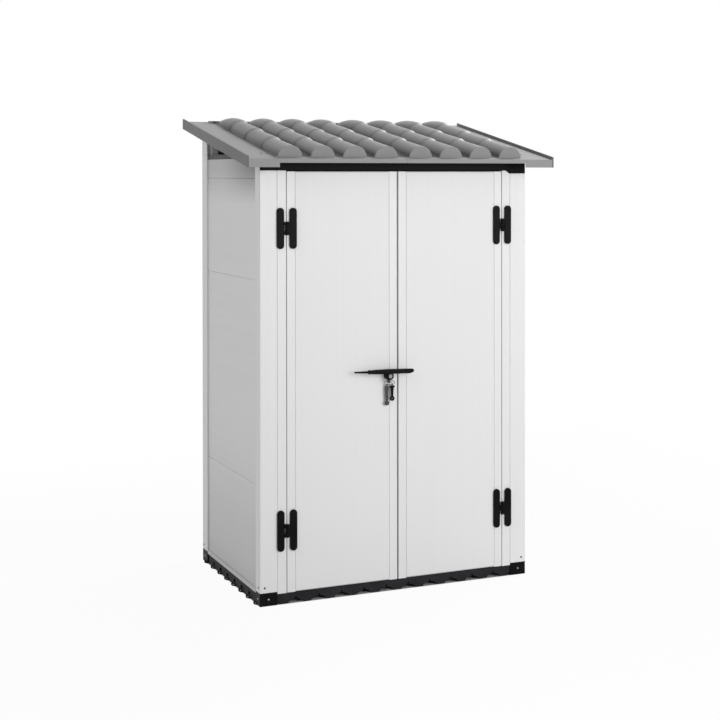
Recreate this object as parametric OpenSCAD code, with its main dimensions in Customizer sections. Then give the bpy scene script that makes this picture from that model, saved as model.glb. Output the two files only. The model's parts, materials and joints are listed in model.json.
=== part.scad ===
// Modular plastic garden shed with two doors and a sloped tile-pattern roof.
// The origin is on the ground under the middle of the roof, the doors face -Y, sizes in mm.

/* [Floor tiles] */
// Side of one square floor tile
tile_pitch = 390; // [320:1:460]
// Number of tiles across the front
tiles_x = 3; // [2:1:4]
// Number of tiles from front to back
tiles_y = 2; // [2:1:3]
// Height of the floor surface above the ground
tile_h = 43; // [40:0.5:50]
// How far the tiles stay inside the outer faces of the posts
tile_inset = 5; // [3:0.5:10]
// Thickness of the deck of a tile
deck_t = 3; // [2:0.5:6]
// Thickness of the skirt and of the ribs of a tile
rib_t = 3; // [2:0.5:6]
// Number of cells along one side of a tile
cells = 4; // [3:1:5]
// Play beside a coupling loop in its arch
loop_play = 3; // [1.5:0.5:6]
// Height of the arches along the front edge of a tile
arch_h = 17; // [12:0.5:24]
// Width of the coupling loops along the other edges
loop_w = 56; // [36:1:60]
// How far a coupling loop reaches out of its tile
loop_out = 13; // [8:0.5:18]
// Thickness of a coupling loop
loop_t = 5.5; // [4:0.5:7]

/* [Posts] */
// Long side of the corner posts
post_long = 72; // [60:1:90]
// Short side of the corner posts
post_short = 52; // [40:1:70]
// Wall of the hollow posts and door edge profiles
post_wall = 2.5; // [1.5:0.5:5]
// How far the corner blocks stand above the floor
block_rise = 9; // [3:0.5:15]
// Width of the fixed strips that carry the hinges
jamb_w = 38.5; // [30:0.5:50]
// Thickness of the fixed strips
jamb_t = 30; // [24:1:40]

/* [Walls] */
// Thickness of the wall boards
board_t = 16; // [12:0.5:20]
// Skin of the hollow wall boards
board_skin = 1.5; // [1:0.25:3]
// How far the wall boards lie inside the post faces
board_inset = 6; // [3:0.5:12]
// Depth of the grooves that hold the board ends
groove_d = 10; // [6:0.5:14]
// Height of the lowest wall board
board_1_h = 415; // [250:1:600]
// Height of the second wall board
board_2_h = 808; // [500:1:1000]
// Height of the third wall board
board_3_h = 402; // [250:1:600]
// Height of the narrow board on top of the side walls
board_4_h = 81; // [60:1:160]
// Height of the rails on top of the side walls
rail_h = 20; // [10:0.5:24]

/* [Doors] */
// Thickness of the doors
door_t = 20; // [16:0.5:28]
// Gap between the doors and the header
door_head_gap = 4; // [2:0.5:8]
// Gap between the two closed doors
door_gap = 7; // [6:0.5:12]
// Gap between a door and its fixed strip
hinge_gap = 3; // [2:0.5:5]
// Width of the edge profiles of the doors
stile_w = 35.5; // [28:0.5:50]
// Gap between the floor and the door edge profiles
door_lift = 1.5; // [1:0.5:8]
// How much higher the door panels end than their edge profiles
panel_lift = 1.5; // [1:0.5:10]
// How far the underside of the header lies below the top of the side walls
header_drop = 49; // [40:0.5:58]

/* [Hinges] */
// Height of a hinge leaf
leaf_h = 162; // [120:1:200]
// Width of a hinge leaf
leaf_w = 29; // [22:0.5:34]
// Thickness of a hinge leaf
leaf_t = 8; // [5:0.5:8.5]
// Distance from the hinge pin to the edge of a leaf
leaf_gap = 12; // [11.5:0.25:14]
// Radius of the hinge knuckles
knuckle_r = 8; // [6:0.25:9]
// Height of the hinge knuckles
knuckle_h = 51; // [36:1:70]
// Radius of the hinge pins
pin_r = 3; // [2:0.25:4]
// Height of the middle of the lower hinges
hinge_low = 290.5; // [200:1:500]
// Distance from the top of the doors to the middle of the upper hinges
hinge_in = 224; // [120:1:400]

/* [Latch] */
// Distance of the latch pivot from the edge of the left door
latch_in = 43; // [38:0.5:60]
// Height of the latch pivot
latch_z = 877.5; // [700:1:1100]
// Length of the thick bar to the left of the pivot
bar_left = 93; // [70:1:120]
// Length of the thick bar to the right of the pivot
bar_right = 102; // [85:1:115]
// Height of the thick bar at its middle
bar_h = 20; // [14:0.5:24]
// Depth of the thick bar
bar_d = 18; // [12:0.5:22]
// Length of the slim grip
grip_len = 62; // [40:1:90]
// How much the bar tilts to the right when the doors are shut, in degrees
bar_tilt = 1.6; // [0:0.1:3]
// Gap between the door and the back of the bar
bar_off = 24; // [22:0.5:32]
// Radius of the lock cylinder
lock_r = 7; // [5:0.25:9]
// Length of the long key
key_long_len = 83.5; // [60:0.5:110]
// Length of the short key
key_short_len = 66.5; // [52:0.5:90]

/* [Roof] */
// Overhang of the roof in front of the posts
roof_front = 100; // [90:1:140]
// Overhang of the roof behind the posts
roof_back = 20; // [14:1:60]
// Overhang of the roof beside the posts
roof_side = 82; // [60:1:110]
// How far the roof surface at its front edge lies below the top of the side walls
roof_seat = 4; // [0:0.5:6]
// Slope of the roof in degrees
roof_slope = 10.7; // [10:0.1:14]
// Thickness of the roof sheet
sheet_t = 4; // [3:0.5:6]
// How far the rim hangs below the roof surface
rim_drop = 33; // [26:0.5:36]
// How far the side lips stand above the roof surface
lip_h = 11.5; // [8:0.5:20]
// Thickness of the side lips
lip_t = 8; // [5:0.5:12]
// Width of the deep part of the front rim at each corner
corner_w = 133; // [90:1:160]
// Depth of the shallow front rim over the doors
shallow_drop = 16; // [8:0.5:20]
// Distance between the tile rows
row_pitch = 136; // [124:0.5:142]
// Distance between the two rows beside the middle seam
row_middle = 151.5; // [124:0.5:170]
// Number of tile rows on each half of the roof
rows = 4; // [3:1:4]
// Number of tiles along one row
tiles_in_row = 4; // [2:1:6]
// Radius of the wide end of a roof tile
barrel_r = 51; // [36:0.5:54]
// Radius of the narrow end of a roof tile
barrel_narrow = 45; // [30:0.5:48]
// How far the middle of the rows lies below the roof surface
barrel_sink = 4.5; // [0:0.5:8]
// Distance from the front edge of the roof to the first tiles
row_front = 38; // [20:1:70]
// Distance from the last tiles to the back edge of the roof
row_back = 24; // [20:1:60]
// Radius of the sunk last tile at its back end
tail_r = 55; // [50:0.5:60]
// How much deeper the middle of the last tile lies at its back end
tail_drop = 31; // [20:1:36]

/* [Hidden] */
$fn = 48;

// Clearances: between faces, around pins, and the extra reach of a cutting shape
slip = 0.3;
fit = 0.08;
cut = 1;

// Cut at the outer corners of the posts and their blocks
bevel = 2;

// Heights, from the floor up
block_h = tile_h + block_rise;
wall_top = block_h + board_1_h + board_2_h + board_3_h + board_4_h;
header_z = wall_top - header_drop;
door_top = header_z - door_head_gap;
roof_z = wall_top - roof_seat;
hinge_high = door_top - hinge_in;

// Overall places
body_w = tiles_x * tile_pitch + 2 * tile_inset;
body_d = tiles_y * tile_pitch + 2 * tile_inset;
half_w = body_w / 2;
roof_run = roof_front + body_d + roof_back;
front = roof_front - roof_run / 2;
back = front + body_d;
cell = tile_pitch / cells;
roof_tan = tan(roof_slope);
roof_half = half_w + roof_side;
eave = front - roof_front;
rear = back + roof_back;

// Edges of the tiles
arch_leg = 4;
arch_w = loop_w + 2 * loop_play;
notch_w = 5;
notch_h = 9;
seam_w = 3;
seam_d = 1;
slot_w = 24;
slot_h = 13;
slot_lift = 5;
slot_z = loop_t + slot_lift;
loop_wall = 4;

// Wall boards
board_cell = 48;
board_foot = 12;
board_head = 8;
tongue_t = 5;
tongue_h = 6;
sill_h = 8;
sill_out = 5;
back_top = roof_under(back - board_inset - board_t) - slip;

// Doors and hinges
jamb_edge = half_w - post_long - jamb_w;
door_edge = jamb_edge - hinge_gap;
door_bottom = tile_h + door_lift;
panel_bottom = door_bottom + panel_lift;
cap_t = 3;
cap_plug = 8;
door_skin = 1.8;
door_cell = 40;
reveal = 2;
axis_x = jamb_edge - hinge_gap / 2;
axis_y = front - knuckle_r - 1;
knuckle_gap = 0.5;
end_knuckle = knuckle_h * 0.28;
pin_cap = 1.5;
pin_cap_r = pin_r + 2;
web_t = 2;
panel_outer = door_edge - stile_w;
panel_inner = door_gap / 2 + stile_w;

// Latch
latch_x = -door_gap / 2 - latch_in;
plate_t = 4;
spindle_r = 11;
spindle_len = 19;
hub_r = 16;
hub_front = bar_off + bar_d / 2;
bar_up = 19;
bar_nose = 20;
collar_r = 8.4;
collar_len = 4;
grip_r = 4.8;
grip_end_r = 3.4;
lock_back = spindle_len + 3;
lock_front = hub_front + 2 * slip;
rosette_r = 8.5;
rosette_t = 1.6;
keyway_w = 1.6;
keyway_h = 7;
keyway_d = 4;

// Keys hanging on a flattened wire loop
ring_x = latch_x + 4.5;
ring_off = 12;
ring_w = 44;
ring_h = 14;
wire_r = 1.3;
peg_r = 2.2;
peg_head_r = 3.6;
peg_head_t = 1.5;
peg_below = 9.4;
peg_z = latch_z - hub_r - peg_below;
tab_w = 9;
ring_top = peg_z + peg_r + wire_r + slip / 3;
key_t = 2.4;
key_x = 11.5;
eye_r = 4.2;
eye_hole_r = 2.2;
shoulder = 5;
neck = 10.5;
key_low_w = 9;
long_top_w = 14;
long_head_w = 14;
long_bow_r = 9.5;
short_top_w = 12;
short_head_w = 22;
short_bow_r = 10;
short_bow_hole = 2.5;

// Screws
screw_head_r = 4.5;
screw_head_h = 1.8;
screw_r = 2;
screw_len = 18;
block_screw_z = block_h / 2;
post_screw_up = 20;
post_screw_in = 20;

// Posts, header and roof supports
plug_h = 18;
header_d = 40;
header_wall = 3;
stop_h = 14;
stop_gap = 1.5;
post_skin = 3;
post_tongue = 34;
block_drop = 12;
block_low_z = header_z - block_drop;
seat_gap = 0.05;
ear_w = 21;
ear_low_w = 4;
ear_t = 5;
rail_inset = 1;
beam_w = 30;
beam_h = 36;

// Roof
back_lip_h = 9;
back_lip_x = 106;
back_lip_y = 30;
barrel_wall = 3.2;
roof_screw_in = 12;
roof_screw_step = 24;
roof_screw_front = 14;
roof_screw_back = 22;
roof_screw_spots = [
  for (x = [roof_screw_in, roof_screw_in + roof_screw_step])
    for (y = [front + roof_screw_front, back - roof_screw_back]) [-half_w + x, y, roof_top(y)]
];

function roof_top(y) = roof_z + (y - eave) * roof_tan;
function roof_under(y) = roof_top(y) - sheet_t;
function arc_r(chord, rise) = (chord * chord / 4 + rise * rise) / (2 * rise);
function row_x(i) = row_middle / 2 + i * row_pitch;
function board_height(i) = [board_1_h, board_2_h, board_3_h, board_4_h][i];
function board_low(i) = i == 0 ? block_h : board_low(i - 1) + board_height(i - 1);

// Part of the plane below a chord line of a circle, used for arches and loops
module bump(chord, rise) {
  r = arc_r(chord, rise);
  intersection() {
    translate([0, rise - r]) circle(r, $fn = 96);
    translate([-chord / 2, 0]) square([chord, rise + cut]);
  }
}

// Slab between two x values under the sloped roof, open below
module roof_shadow(x0, x1, gap) {
  translate([x0, 0, 0])
    rotate([90, 0, 90])
      linear_extrude(x1 - x0)
        polygon([
          [eave, 0], [rear, 0],
          [rear, roof_under(rear) - gap], [eave, roof_under(eave) - gap]
        ]);
}

module flip_x(on) {
  if (on) mirror([1, 0, 0]) children();
  else children();
}

// One floor tile, its column and row counted from the front left corner
module floor_tile(column, row) {
  x0 = -half_w + tile_inset + column * tile_pitch;
  y0 = front + tile_inset + row * tile_pitch;
  side = tile_pitch - slip;
  color([0.2, 0.2, 0.21]) difference() {
    translate([x0, y0, 0]) tile_body(side);
    corner_room();
  }
}

module tile_body(side) {
  difference() {
    union() {
      translate([0, 0, tile_h - deck_t]) cube([side, side, deck_t]);
      difference() {
        cube([side, side, tile_h - deck_t / 2]);
        translate([rib_t, rib_t, -cut]) cube([side - 2 * rib_t, side - 2 * rib_t, tile_h]);
      }
      for (i = [1:cells - 1]) {
        translate([i * cell - rib_t / 2, rib_t / 2, 0]) cube([rib_t, side - rib_t, tile_h - deck_t / 2]);
        translate([rib_t / 2, i * cell - rib_t / 2, 0]) cube([side - rib_t, rib_t, tile_h - deck_t / 2]);
      }
      for (i = [0:cells - 1]) {
        translate([rib_t / 2, (i + 0.5) * cell, 0]) rotate([0, 0, 90]) tile_loop();
        translate([(i + 0.5) * cell, side - rib_t / 2, 0]) tile_loop();
      }
    }
    for (i = [0:cells - 1]) {
      translate([(i + 0.5) * cell, rib_t + cut, 0]) tile_arch();
      translate([side - rib_t - cut, (i + 0.5) * cell, 0]) rotate([0, 0, 90]) tile_arch();
      translate([-cut, (i + 0.5) * cell, slot_z]) tile_slot();
      translate([(i + 0.5) * cell, side + cut, slot_z]) rotate([0, 0, -90]) tile_slot();
    }
    for (i = [1:cells - 1]) {
      translate([i * cell - seam_w / 2, -cut, tile_h - seam_d]) cube([seam_w, side + 2 * cut, seam_d + cut]);
      translate([-cut, i * cell - seam_w / 2, tile_h - seam_d]) cube([side + 2 * cut, seam_w, seam_d + cut]);
    }
  }
}

// Coupling loop that reaches out along +Y, with a slot for the next tile
module tile_loop() {
  linear_extrude(loop_t) difference() {
    bump(loop_w, loop_out + rib_t / 2);
    translate([-loop_w / 4, rib_t]) square([loop_w / 2, loop_out - rib_t / 2 - loop_wall]);
  }
}

// Arch through an edge, cut from the inside of the skirt towards -Y
module tile_arch() {
  rotate([90, 0, 0]) linear_extrude(rib_t + 2 * cut) {
    translate([-arch_w / 2, -cut]) square([arch_w, arch_leg + cut]);
    translate([0, arch_leg]) bump(arch_w, arch_h - arch_leg);
    translate([-notch_w / 2, arch_h - cut]) square([notch_w, notch_h + cut]);
  }
}

// Opening above a coupling loop, cut along +X
module tile_slot() {
  translate([0, -slot_w / 2, 0]) cube([rib_t + 2 * cut, slot_w, slot_h]);
}

// Space that the corner blocks take out of the floor
module corner_room() {
  for (sx = [-1, 1]) {
    for (sy = [0, 1]) {
      long_x = sy == 0 ? post_long : post_short;
      long_y = sy == 0 ? post_short : post_long;
      x = sx * (half_w - long_x / 2);
      y = sy == 0 ? front + long_y / 2 : back - long_y / 2;
      translate([x, y, tile_h / 2])
        cube([long_x + 2 * slip, long_y + 2 * slip, tile_h + 2 * loop_out], center = true);
    }
  }
}

// Corner block with a plug that enters the hollow of the post above, drawn at the origin
module base_block(w, d, plug_w) {
  plug_d = d - groove_d - 2 * post_wall;
  color([0.12, 0.12, 0.13]) difference() {
    union() {
      linear_extrude(block_h) bevelled(w, d);
      translate([post_wall + slip, post_wall + slip, block_h - cut])
        cube([plug_w - 2 * slip, plug_d - 2 * slip, plug_h + cut]);
    }
    translate([w / 2, screw_len, block_screw_z])
      rotate([90, 0, 0]) cylinder(h = screw_len + cut, r = screw_r + fit);
    translate([-cut, d / 2, block_screw_z])
      rotate([0, 90, 0]) cylinder(h = screw_len + cut, r = screw_r + fit);
  }
}

// Rectangle with its outer corner cut at 45 degrees
module bevelled(w, d) {
  polygon([[bevel, 0], [w, 0], [w, d], [0, d], [0, bevel]]);
}

module at_front_left() {
  translate([-half_w, front, 0]) children();
}

// The back corner is the front corner turned, so that its long side lies along the side wall
module at_back_left() {
  translate([-half_w, back, 0]) rotate([0, 0, -90]) children();
}

module base_block_front_left() {
  at_front_left() base_block(post_long, post_short, post_long - 2 * post_wall);
}
module base_block_front_right() { mirror([1, 0, 0]) base_block_front_left(); }
module base_block_back_left() {
  at_back_left() base_block(post_long, post_short, post_long - groove_d - 2 * post_wall);
}
module base_block_back_right() { mirror([1, 0, 0]) base_block_back_left(); }

// Pan head screw whose head rests on a face at the origin and whose shank points along -Z
module screw(head, deep) {
  cylinder(h = screw_head_h, r = head);
  translate([0, 0, -deep]) cylinder(h = deep + screw_head_h / 2, r = screw_r);
}

// Screws in the two outer faces of each corner, at height z
module corner_screws(z, x, y, head, deep) {
  for (on = [false, true]) {
    flip_x(on) {
      at_front_left() screw_pair(z, x, y, head, deep);
      at_back_left() screw_pair(z, x, y, head, deep);
    }
  }
}

module screw_pair(z, x, y, head, deep) {
  translate([x, 0, z]) rotate([90, 0, 0]) screw(head, deep);
  translate([0, y, z]) rotate([0, -90, 0]) screw(head, deep);
}

module base_screws() {
  color([0.6, 0.6, 0.62])
    corner_screws(block_screw_z, post_long / 2, post_short / 2, screw_head_r, screw_len - 1);
}

module post_screws() {
  color([0.1, 0.1, 0.1])
    corner_screws(block_h + post_screw_up, post_screw_in, post_screw_in, screw_head_r - 0.5, post_wall);
}

// Hollow front post standing on its block, its open groove holds the side wall
module front_post(top) {
  w = post_long;
  d = post_short;
  groove = board_t + 2 * slip;
  rest = w - board_inset - groove - 2 * post_wall;
  color([0.93, 0.93, 0.93]) at_front_left() translate([0, 0, block_h]) difference() {
    linear_extrude(top - block_h) difference() {
      bevelled(w, d);
      translate([post_wall, post_wall]) square([w - 2 * post_wall, d - groove_d - 2 * post_wall]);
      translate([board_inset - slip, d - groove_d]) square([groove, groove_d + cut]);
      translate([w - post_wall - rest, d - groove_d]) square([rest, groove_d - post_wall]);
    }
    translate([post_screw_in, -cut, post_screw_up])
      rotate([-90, 0, 0]) cylinder(h = post_wall + 2 * cut, r = screw_r + fit);
    translate([-cut, post_screw_in, post_screw_up])
      rotate([0, 90, 0]) cylinder(h = post_wall + 2 * cut, r = screw_r + fit);
  }
}

// The left post runs up beside its top block, the right one ends under its top block
module post_front_left() {
  difference() {
    front_post(header_z + post_tongue);
    at_front_left() translate([post_skin, -cut, header_z])
      cube([post_long, post_short + 2 * cut, post_tongue + cut]);
  }
}

module post_front_right() { mirror([1, 0, 0]) front_post(block_low_z); }

// Hollow back post with a groove for the side wall and one for the back wall
module post_back_left() {
  groove = board_t + 2 * slip;
  color([0.93, 0.93, 0.93]) difference() {
    intersection() {
      at_back_left() translate([0, 0, block_h]) linear_extrude(roof_top(rear) - block_h) difference() {
        bevelled(post_long, post_short);
        translate([post_wall, post_wall])
          square([post_long - groove_d - 2 * post_wall, post_short - groove_d - 2 * post_wall]);
        translate([post_long - groove_d, board_inset - slip]) square([groove_d + cut, groove]);
        translate([board_inset - slip, post_short - groove_d]) square([groove, groove_d + cut]);
      }
      roof_shadow(-roof_half, 0, slip);
    }
    at_back_left() translate([0, 0, block_h + post_screw_up]) {
      translate([post_screw_in, -cut, 0])
        rotate([-90, 0, 0]) cylinder(h = post_wall + 2 * cut, r = screw_r + fit);
      translate([-cut, post_screw_in, 0])
        rotate([0, 90, 0]) cylinder(h = post_wall + 2 * cut, r = screw_r + fit);
    }
  }
}

module post_back_right() { mirror([1, 0, 0]) post_back_left(); }

// Fixed strip beside the front post that carries the frame leaves of the hinges
module jamb_left() {
  color([0.93, 0.93, 0.93]) translate([-half_w + post_long, front, tile_h])
    linear_extrude(header_z - tile_h) difference() {
      square([jamb_w, jamb_t]);
      translate([post_wall, post_wall]) square([jamb_w - 2 * post_wall, jamb_t - 2 * post_wall]);
      translate([-cut, -cut]) square([cut + reveal, cut + reveal]);
    }
}

module jamb_right() {
  difference() {
    mirror([1, 0, 0]) jamb_left();
    ear_room();
  }
}

// Black rail over the doors, its rear lip stops the doors
module header() {
  half = half_w - post_long;
  stop_y = front + door_t + stop_gap;
  hollow_h = roof_z - sheet_t - header_z - 2 * header_wall;
  color([0.12, 0.12, 0.13]) intersection() {
    translate([-half, 0, 0]) rotate([90, 0, 90]) linear_extrude(2 * half) difference() {
      polygon([
        [front, header_z], [stop_y, header_z], [stop_y, header_z - stop_h],
        [front + header_d, header_z - stop_h], [front + header_d, roof_top(rear)], [front, roof_top(rear)]
      ]);
      translate([front + header_wall, header_z + header_wall])
        square([header_d - 2 * header_wall, hollow_h]);
    }
    difference() {
      roof_shadow(-half, half, slip);
      for (side = [-1, 1])
        translate([side * (half - jamb_w / 2), front + header_d / 2, header_z - stop_h])
          cube([jamb_w + 2 * slip, header_d + 2 * cut, 2 * stop_h], center = true);
    }
  }
}

// Groove at the left front corner for the end of the top side board
module top_groove() {
  translate([-half_w + board_inset - slip, front + post_short - groove_d, block_low_z - cut])
    cube([board_t + 2 * slip, groove_d + cut, wall_top + slip - block_low_z + cut]);
}

// Blocks between the front posts and the roof
module top_block_left() {
  color([0.12, 0.12, 0.13]) intersection() {
    difference() {
      translate([-half_w + post_skin + slip, front, header_z])
        cube([post_long - post_skin - slip, post_short, roof_top(back) - header_z]);
      top_groove();
    }
    roof_shadow(-roof_half, 0, slip);
  }
}

module top_block_right() {
  color([0.12, 0.12, 0.13]) intersection() {
    difference() {
      union() {
        translate([half_w - post_long, front, block_low_z])
          cube([post_long, post_short, roof_top(back) - block_low_z]);
        ear();
      }
      mirror([1, 0, 0]) top_groove();
    }
    roof_shadow(0, roof_half, slip);
  }
}

// Slanted ear of the right top block, in front of the fixed strip
module ear() {
  x = half_w - post_long;
  translate([0, front + ear_t, 0]) rotate([90, 0, 0]) linear_extrude(ear_t)
    polygon([
      [x + cut, block_low_z], [x - ear_low_w, block_low_z],
      [x - ear_w, header_z - slip], [x + cut, header_z - slip]
    ]);
}

// Space for the ear in the fixed strip
module ear_room() {
  x = half_w - post_long;
  translate([0, front + ear_t + slip, 0]) rotate([90, 0, 0]) linear_extrude(ear_t + slip + cut)
    polygon([
      [x + cut, block_low_z - slip], [x - ear_low_w - 2 * slip, block_low_z - slip],
      [x - ear_w - 2 * slip, header_z - slip], [x - ear_w - 2 * slip, header_z + cut],
      [x + cut, header_z + cut]
    ]);
}

// Rail on top of a side wall, under the open gap below the roof
module side_rail_left() {
  color([0.3, 0.3, 0.31]) intersection() {
    translate([-half_w + board_inset + rail_inset, front + post_short, wall_top])
      cube([board_t - 2 * rail_inset, body_d - post_short - post_long, rail_h]);
    roof_shadow(-roof_half, 0, slip);
  }
}

module side_rail_right() { mirror([1, 0, 0]) side_rail_left(); }

// Sloped beam under the seam of the two roof halves
module roof_beam() {
  y0 = front + header_d;
  y1 = back - board_inset - board_t;
  color([0.3, 0.3, 0.31]) translate([-beam_w / 2, 0, 0]) rotate([90, 0, 90]) linear_extrude(beam_w)
    polygon([
      [y0, roof_under(y0) - beam_h], [y1, roof_under(y1) - beam_h],
      [y1, roof_under(y1) - slip], [y0, roof_under(y0) - slip]
    ]);
}

// Hollow wall board lying along +X from the origin, its outer face at y = 0.
// A tongue on top enters the groove in the underside of the next board.
module board(len, h, tongue, groove) {
  cells_h = h - board_foot - board_head;
  n = max(1, floor(cells_h / board_cell));
  pitch = cells_h / n;
  tongue_y = (board_t - tongue_t) / 2;
  rotate([90, 0, 90]) linear_extrude(len) difference() {
    union() {
      square([board_t, h]);
      if (tongue) translate([tongue_y, h - cut]) square([tongue_t, tongue_h + cut]);
    }
    if (groove) translate([tongue_y - slip, -cut]) square([tongue_t + 2 * slip, tongue_h + 1 + cut]);
    if (groove) translate([-cut, -cut]) square([cut + reveal, cut + reveal]);
    for (i = [0:n - 1])
      translate([board_skin, board_foot + i * pitch])
        square([board_t - 2 * board_skin, pitch - board_skin]);
  }
}

// Strip along the foot of a wall, as wide as the wall and its small step, on the floor tiles
module foot_strip(len) {
  translate([0, -sill_out, -block_rise]) cube([len, sill_out + board_t, block_rise]);
  translate([0, -sill_out, -cut]) cube([len, sill_out + cut, sill_h + cut]);
}

module side_board(i) {
  len = body_d - post_short - post_long;
  color([0.92, 0.92, 0.92]) translate([-half_w + board_inset, back - post_long, board_low(i)])
    rotate([0, 0, -90]) {
      translate([slip - groove_d, 0, 0])
        board(len + 2 * groove_d - 2 * slip, board_height(i), i < 3, i > 0);
      if (i == 0) foot_strip(len);
    }
}

module back_board(i) {
  h = i < 3 ? board_height(i) : back_top - board_low(i);
  len = body_w - 2 * post_short;
  color([0.92, 0.92, 0.92]) translate([len / 2, back - board_inset, board_low(i)])
    rotate([0, 0, 180]) {
      translate([slip - groove_d, 0, 0]) board(len + 2 * groove_d - 2 * slip, h, i < 3, i > 0);
      if (i == 0) foot_strip(len);
    }
}

// Upright cells of the left door panel, or the plugs that fit them when gap is above 0
module door_cells(h, gap) {
  w = panel_outer - panel_inner;
  n = max(1, round(w / door_cell));
  pitch = w / n;
  for (i = [0:n - 1])
    translate([-panel_outer + i * pitch + door_skin + gap, front + door_skin + gap, 0])
      cube([pitch - 2 * door_skin - 2 * gap, door_t - 2 * door_skin - 2 * gap, h]);
}

module left_door_panel() {
  z0 = panel_bottom + cap_t;
  h = door_top - cap_t - z0;
  color([0.94, 0.94, 0.94]) difference() {
    translate([-panel_outer, front, z0]) cube([panel_outer - panel_inner, door_t, h]);
    translate([0, 0, z0 - cut]) door_cells(h + 2 * cut, 0);
  }
}

module right_door_panel() { mirror([1, 0, 0]) left_door_panel(); }

module left_door_bottom_cap() {
  color([0.8, 0.8, 0.8]) {
    translate([-panel_outer, front, panel_bottom]) cube([panel_outer - panel_inner, door_t, cap_t]);
    translate([0, 0, panel_bottom + cap_t / 2]) door_cells(cap_t / 2 + cap_plug, slip);
  }
}

module left_door_top_cap() {
  color([0.8, 0.8, 0.8]) {
    translate([-panel_outer, front, door_top - cap_t]) cube([panel_outer - panel_inner, door_t, cap_t]);
    translate([0, 0, door_top - cap_t - cap_plug]) door_cells(cap_t / 2 + cap_plug, slip);
  }
}

module right_door_bottom_cap() { mirror([1, 0, 0]) left_door_bottom_cap(); }
module right_door_top_cap() { mirror([1, 0, 0]) left_door_top_cap(); }

// Hollow edge profile of a door from x to x + stile_w, with a shadow line beside the panel
module stile(x, line_x) {
  color([0.95, 0.95, 0.95]) translate([0, front, door_bottom]) linear_extrude(door_top - door_bottom)
    difference() {
      translate([x, 0]) square([stile_w, door_t]);
      translate([x + post_wall, post_wall + reveal])
        square([stile_w - 2 * post_wall, door_t - 2 * post_wall - reveal]);
      translate([line_x - reveal / 2, -cut]) square([reveal, cut + reveal]);
    }
}

module left_door_hinge_stile() { stile(-door_edge, -panel_outer - reveal / 2); }
module right_door_hinge_stile() { mirror([1, 0, 0]) left_door_hinge_stile(); }
module left_door_meeting_stile() { stile(-panel_inner, -panel_inner + reveal / 2); }
module right_door_meeting_stile() { mirror([1, 0, 0]) left_door_meeting_stile(); }

// Leaf of a hinge with round ends, its near edge leaf_gap away from the pin at x = 0
module leaf_plate() {
  x = -leaf_gap - leaf_w / 2;
  straight = leaf_h / 2 - leaf_w / 2;
  translate([0, front, 0]) rotate([90, 0, 0]) linear_extrude(leaf_t) {
    translate([x, 0]) square([leaf_w, 2 * straight], center = true);
    translate([x, straight]) circle(leaf_w / 2);
    translate([x, -straight]) circle(leaf_w / 2);
  }
}

// Knuckle between two heights with the strap that joins it to its leaf
module knuckle(z0, z1) {
  difference() {
    union() {
      translate([0, axis_y, z0]) cylinder(h = z1 - z0, r = knuckle_r);
      translate([-leaf_gap - cut, axis_y - web_t, z0]) cube([leaf_gap + cut, knuckle_r + web_t, z1 - z0]);
    }
    translate([0, axis_y, z0 - cut]) cylinder(h = z1 - z0 + 2 * cut, r = pin_r + fit);
  }
}

module frame_leaf() {
  h = knuckle_h / 2;
  leaf_plate();
  knuckle(-h, -h + end_knuckle);
  knuckle(h - end_knuckle, h);
}

module door_leaf() {
  h = knuckle_h / 2 - end_knuckle - knuckle_gap;
  mirror([1, 0, 0]) {
    leaf_plate();
    knuckle(-h, h);
  }
}

module at_hinges() {
  for (z = [hinge_low, hinge_high]) translate([-axis_x, 0, z]) children();
}

module left_frame_hinges() { color([0.1, 0.1, 0.11]) at_hinges() frame_leaf(); }
module right_frame_hinges() { mirror([1, 0, 0]) left_frame_hinges(); }
module left_door_hinges() { color([0.1, 0.1, 0.11]) at_hinges() door_leaf(); }
module right_door_hinges() { mirror([1, 0, 0]) left_door_hinges(); }

module hinge_pins() {
  color([0.2, 0.2, 0.2]) for (on = [false, true]) flip_x(on) at_hinges() translate([0, axis_y, 0]) {
    translate([0, 0, -knuckle_h / 2]) cylinder(h = knuckle_h, r = pin_r);
    translate([0, 0, knuckle_h / 2]) cylinder(h = pin_cap, r = pin_cap_r);
    translate([0, 0, -knuckle_h / 2 - pin_cap]) cylinder(h = pin_cap, r = pin_cap_r);
  }
}

// Disc on the door with the spindle that carries the lever and the peg that carries the keys
module latch_plate() {
  peg_len = ring_off + wire_r + slip;
  color([0.12, 0.12, 0.13]) {
    translate([latch_x, front, latch_z]) rotate([90, 0, 0]) {
      cylinder(h = plate_t, r = hub_r);
      cylinder(h = spindle_len, r = spindle_r);
    }
    translate([ring_x - tab_w / 2, front - plate_t, peg_z - tab_w / 2])
      cube([tab_w, plate_t, latch_z - hub_r / 2 - peg_z + tab_w / 2]);
    translate([ring_x, front, peg_z]) rotate([90, 0, 0]) {
      cylinder(h = peg_len + cut / 2, r = peg_r);
      translate([0, 0, peg_len]) cylinder(h = peg_head_t, r = peg_head_r);
    }
  }
}

// Turning bar with a slim grip; its outline is drawn around the middle of the bar
module latch_lever() {
  color([0.08, 0.08, 0.09]) translate([latch_x, front, latch_z]) difference() {
    union() {
      translate([0, -plate_t - slip, 0]) rotate([90, 0, 0]) cylinder(h = hub_front - plate_t, r = hub_r);
      rotate([0, bar_tilt, 0]) {
        translate([0, -bar_off, bar_up]) rotate([90, 0, 0]) linear_extrude(bar_d) bar_outline();
        translate([-bar_left, -bar_off - bar_d / 2, bar_up]) rotate([0, -90, 0]) {
          translate([0, 0, -cut]) cylinder(h = collar_len + cut, r = collar_r);
          cylinder(h = grip_len, r1 = grip_r, r2 = grip_end_r);
          translate([0, 0, grip_len]) sphere(grip_end_r);
        }
      }
    }
    translate([0, cut, 0]) rotate([90, 0, 0]) cylinder(h = spindle_len + 2 * cut, r = spindle_r + fit);
    translate([0, -lock_back, 0]) rotate([90, 0, 0]) cylinder(h = hub_front + cut, r = lock_r + fit);
  }
}

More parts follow.
